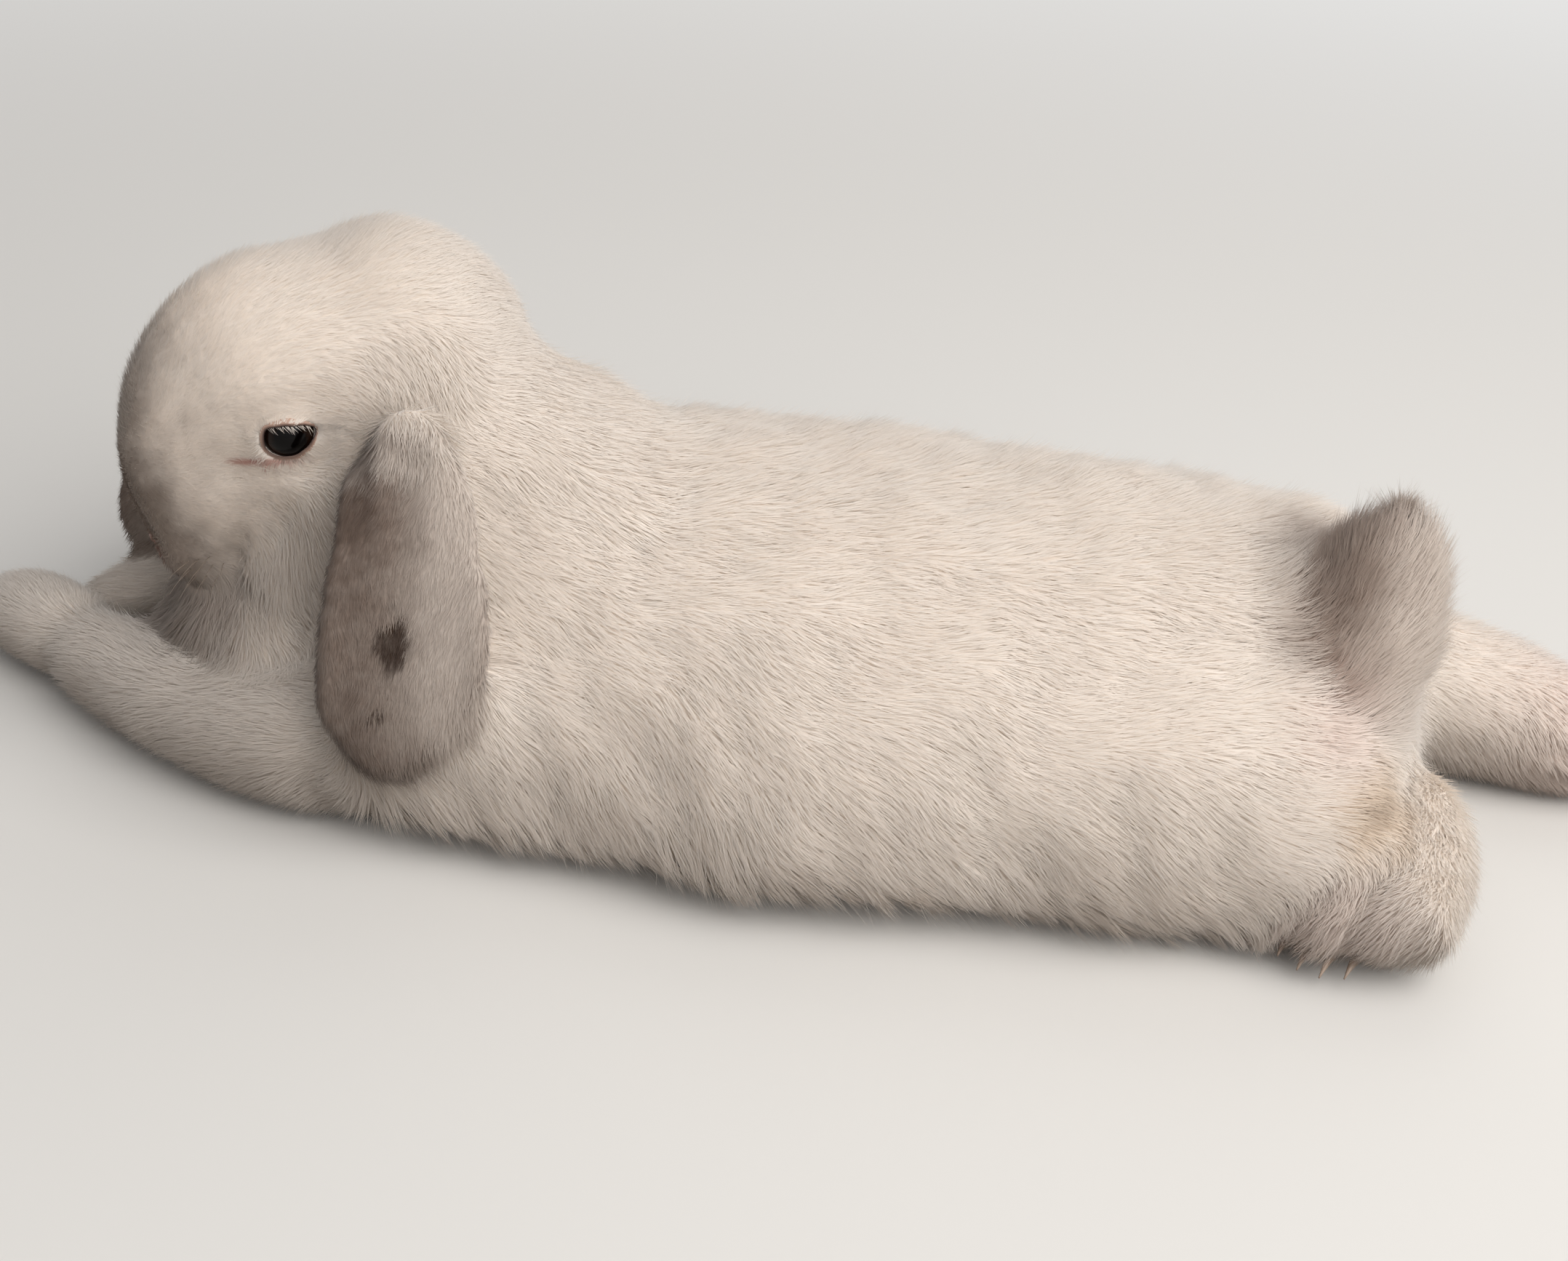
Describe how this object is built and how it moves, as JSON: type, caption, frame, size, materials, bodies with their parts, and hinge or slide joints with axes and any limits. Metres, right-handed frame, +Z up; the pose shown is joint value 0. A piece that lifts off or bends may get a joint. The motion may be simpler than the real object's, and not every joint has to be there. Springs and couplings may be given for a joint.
{
  "type": "lop rabbit",
  "caption": "Life-size still model of a lop-eared rabbit lying stretched on its belly, head raised, ears hanging, hind legs out behind.",
  "frame": {"origin": "on the floor, under the middle of the model's bounding box", "axes": "+X from the nose towards the rump, +Y towards the rabbit's right side, +Z up"},
  "size_m": [0.5058, 0.1874, 0.1474],
  "materials": {
    "coat_cream": "soft matt fur",
    "coat_fawn": "short matt fur",
    "eye": "wet gloss",
    "claw": "dull horn"
  },
  "bodies": {
    "root": {"claw_forepaw_left_1": "claw", "claw_forepaw_left_2": "claw", "claw_forepaw_left_3": "claw", "claw_forepaw_left_4": "claw", "claw_forepaw_right_1": "claw", "claw_forepaw_right_2": "claw", "claw_forepaw_right_3": "claw", "claw_forepaw_right_4": "claw", "claw_hind_foot_left_1": "claw", "claw_hind_foot_left_2": "claw", "claw_hind_foot_left_3": "claw", "claw_hind_foot_left_4": "claw", "claw_hind_foot_right_1": "claw", "claw_hind_foot_right_2": "claw", "claw_hind_foot_right_3": "claw", "claw_hind_foot_right_4": "claw", "ear_left": "coat_fawn", "ear_right": "coat_fawn", "eye_left": "eye", "eye_right": "eye", "foreleg_left": "coat_cream", "foreleg_right": "coat_cream", "forepaw_left": "coat_cream", "forepaw_right": "coat_cream", "head": "coat_cream", "hind_foot_left": "coat_cream", "hind_foot_right": "coat_cream", "neck": "coat_cream", "tail": "coat_fawn", "thigh_left": "coat_cream", "thigh_right": "coat_cream", "trunk": "coat_cream"}
  },
  "joints": []
}
